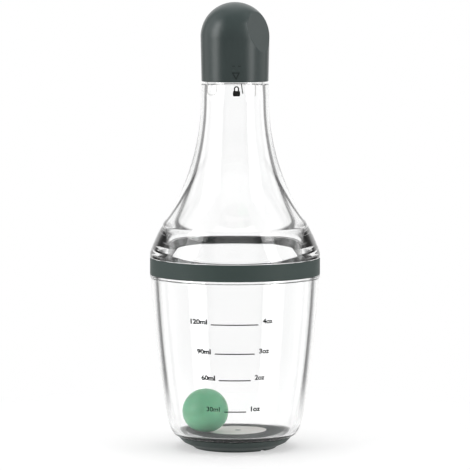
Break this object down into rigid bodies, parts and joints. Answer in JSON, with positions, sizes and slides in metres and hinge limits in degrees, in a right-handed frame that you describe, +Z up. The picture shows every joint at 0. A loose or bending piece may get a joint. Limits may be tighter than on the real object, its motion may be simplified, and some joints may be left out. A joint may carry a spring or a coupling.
{
  "type": "salad dressing shaker bottle",
  "caption": "Clear two-part dressing shaker with a flared neck, soft band and foot, domed twist-off cap and a loose mixing ball inside.",
  "frame": {"origin": "centre of the foot's underside on the bottle's axis", "axes": "+Z up along the bottle's axis, -Y towards the front with the scale, +X to the right seen from the front"},
  "size_m": [0.068, 0.068, 0.1782],
  "materials": {
    "foot_silicone": "satin dark slate silicone",
    "clear_plastic": "polished clear copolyester",
    "ball_plastic": "satin green moulded plastic",
    "band_silicone": "satin dark slate silicone",
    "cap_plastic": "satin dark slate moulded plastic",
    "stopper_plastic": "matte dark slate moulded plastic",
    "ring_silicone": "milky translucent silicone"
  },
  "bodies": {
    "base": {"cup": "clear_plastic", "foot_ring": "foot_silicone"},
    "ball": {"mixing_ball": "ball_plastic"},
    "band": {"seal_band": "band_silicone"},
    "neck": {"neck": "clear_plastic"},
    "stopper": {"stopper": "stopper_plastic", "stopper_ring": "ring_silicone"},
    "cap": {"cap_shell": "cap_plastic"}
  },
  "joints": [
    {"name": "ball_shake", "type": "slide", "parent": "base", "child": "ball", "axis": [0, 0, 1], "range_m": [0, 0.074]},
    {"name": "neck_turn", "type": "hinge", "parent": "base", "child": "band", "pos_m": [0, 0, 0.0731], "axis": [0, 0, 1], "range_deg": [0, 275]},
    {"name": "neck_rise", "type": "slide", "parent": "band", "child": "neck", "axis": [0, 0, 1], "range_m": [0, 0.0075]},
    {"name": "cap_lift", "type": "slide", "parent": "neck", "child": "stopper", "axis": [0, 0, 1], "range_m": [0, 0.04]},
    {"name": "cap_turn", "type": "hinge", "parent": "stopper", "child": "cap", "pos_m": [0, 0, 0.165], "axis": [0, 0, 1], "range_deg": [0, 90]}
  ],
  "couplings": [
    {"joint": "neck_turn", "follows": "neck_rise", "rad_per_m": 628.32}
  ]
}
